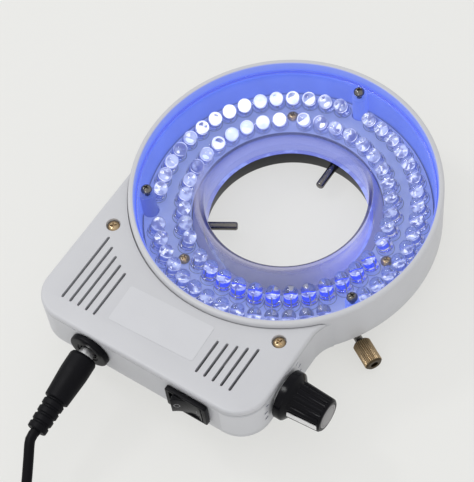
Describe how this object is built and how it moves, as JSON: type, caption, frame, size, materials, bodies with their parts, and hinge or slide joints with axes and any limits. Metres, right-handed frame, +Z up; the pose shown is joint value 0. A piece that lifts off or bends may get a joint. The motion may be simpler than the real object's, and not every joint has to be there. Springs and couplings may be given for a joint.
{
  "type": "microscope ring light",
  "caption": "Ring light for a stereo microscope: LED ring with clear window, switch box with dimmer and rocker, clamping collar with thumbscrews, and a plug-in low-voltage lead.",
  "frame": {"origin": "centre of the object's box without its cable, on the surface that the collar stands on", "axes": "+Z up along the ring's axis, -Y toward the switch box's front wall, +X toward the dimmer knob"},
  "size_m": [0.1555, 0.2569, 0.042],
  "materials": {
    "white_plastic": "satin moulded plastic",
    "clear_plastic": "clear moulded plastic",
    "circuit_board": "pale solder mask under clear LEDs",
    "driver_green": "green solder mask",
    "black_plastic": "fine grain",
    "grey_plastic": "satin",
    "brass": "turned brass",
    "dark_steel": "dark plated steel",
    "bright_steel": "bright plated steel",
    "red_wire": "wire insulation",
    "black_rubber": "soft moulded plastic"
  },
  "bodies": {
    "housing": {"ring_housing": "white_plastic", "box_cover": "white_plastic", "clear_window": "clear_plastic", "led_board": "circuit_board", "driver_board": "driver_green", "mounting_collar": "black_plastic", "switch_frame": "black_plastic", "socket_body": "black_plastic", "cable_tie": "black_plastic", "adapter_body": "black_plastic", "wire_dimmer": "grey_plastic", "cover_screw_left": "brass", "cover_screw_right": "brass", "board_screw_1": "brass", "board_screw_2": "brass", "board_screw_3": "brass", "window_screw_1": "dark_steel", "window_screw_2": "dark_steel", "window_screw_3": "dark_steel", "switch_terminal_1": "bright_steel", "switch_terminal_2": "bright_steel", "pot_body": "bright_steel", "pot_nut": "bright_steel", "socket_nut": "bright_steel", "socket_pin": "bright_steel", "driver_screw_1": "bright_steel", "driver_screw_2": "bright_steel", "plug_barrel": "bright_steel", "adapter_blade_1": "bright_steel", "adapter_blade_2": "bright_steel", "wire_inlet_switch": "red_wire", "wire_inlet_driver": "red_wire", "wire_switch_driver": "red_wire", "wire_leds": "red_wire", "plug_body": "black_rubber", "cable_lead": "black_rubber", "cable_coil": "black_rubber", "cable_tail": "black_rubber", "adapter_relief": "black_rubber"},
    "rocker": {"switch_rocker": "black_plastic"},
    "dimmer": {"dimmer_knob": "black_plastic", "knob_cap": "grey_plastic", "pot_shaft": "bright_steel"},
    "clamp_1": {"clamp_rod_1": "dark_steel", "clamp_head_1": "brass"},
    "clamp_2": {"clamp_rod_2": "dark_steel", "clamp_head_2": "brass"},
    "clamp_3": {"clamp_rod_3": "dark_steel", "clamp_head_3": "brass"}
  },
  "joints": [
    {"name": "rocker_switch", "type": "hinge", "parent": "housing", "child": "rocker", "pos_m": [0.01368, -0.06465, 0.0205], "axis": [0, 0, 1], "range_deg": [-22, 0]},
    {"name": "dimmer_turn", "type": "hinge", "parent": "housing", "child": "dimmer", "pos_m": [0.03718, -0.04615, 0.0192], "axis": [-1, 0, 0], "range_deg": [-50, 250]},
    {"name": "clamp_slide_1", "type": "slide", "parent": "housing", "child": "clamp_1", "axis": [0, -1, 0], "range_m": [-0.0105, 0.0099]},
    {"name": "clamp_slide_2", "type": "slide", "parent": "housing", "child": "clamp_2", "axis": [0.866, 0.5, 0], "range_m": [-0.0118, 0.0086]},
    {"name": "clamp_slide_3", "type": "slide", "parent": "housing", "child": "clamp_3", "axis": [-0.866, 0.5, 0], "range_m": [-0.0025, 0.0179]}
  ]
}
